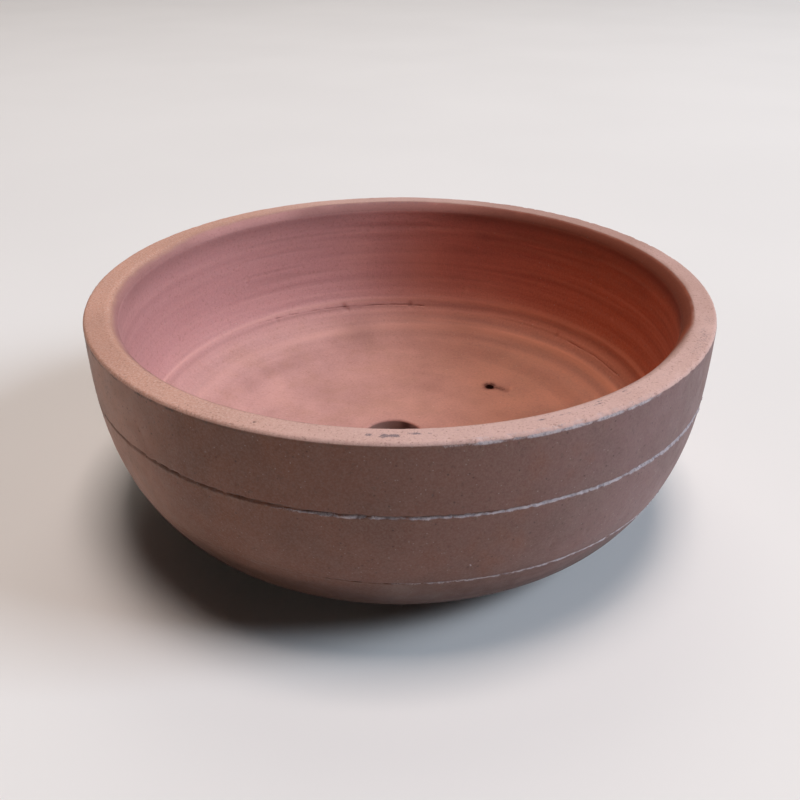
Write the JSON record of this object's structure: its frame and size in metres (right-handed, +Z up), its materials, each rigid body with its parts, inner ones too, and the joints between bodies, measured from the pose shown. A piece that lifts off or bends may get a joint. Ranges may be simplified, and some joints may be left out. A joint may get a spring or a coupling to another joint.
{
  "type": "bonsai pot",
  "caption": "Round unglazed stoneware bonsai pot: base dish with drain and tie-wire holes, two luted wall rings and low feet.",
  "frame": {"origin": "on the ground plane, at the middle of the pot's outline", "axes": "+Z up out of the mouth; -Y is the front, where two of the feet stand; the drain hole sits a little towards -X"},
  "size_m": [0.25, 0.25, 0.092],
  "materials": {
    "rim_clay": "unglazed, sandy, matte",
    "wall_clay": "unglazed, burnished, matte",
    "base_clay": "unglazed, matte",
    "foot_clay": "unglazed, matte"
  },
  "bodies": {
    "root": {"rim_ring": "rim_clay", "wall_ring": "wall_clay", "base_dish": "base_clay", "foot_1": "foot_clay", "foot_2": "foot_clay", "foot_3": "foot_clay"}
  },
  "joints": []
}
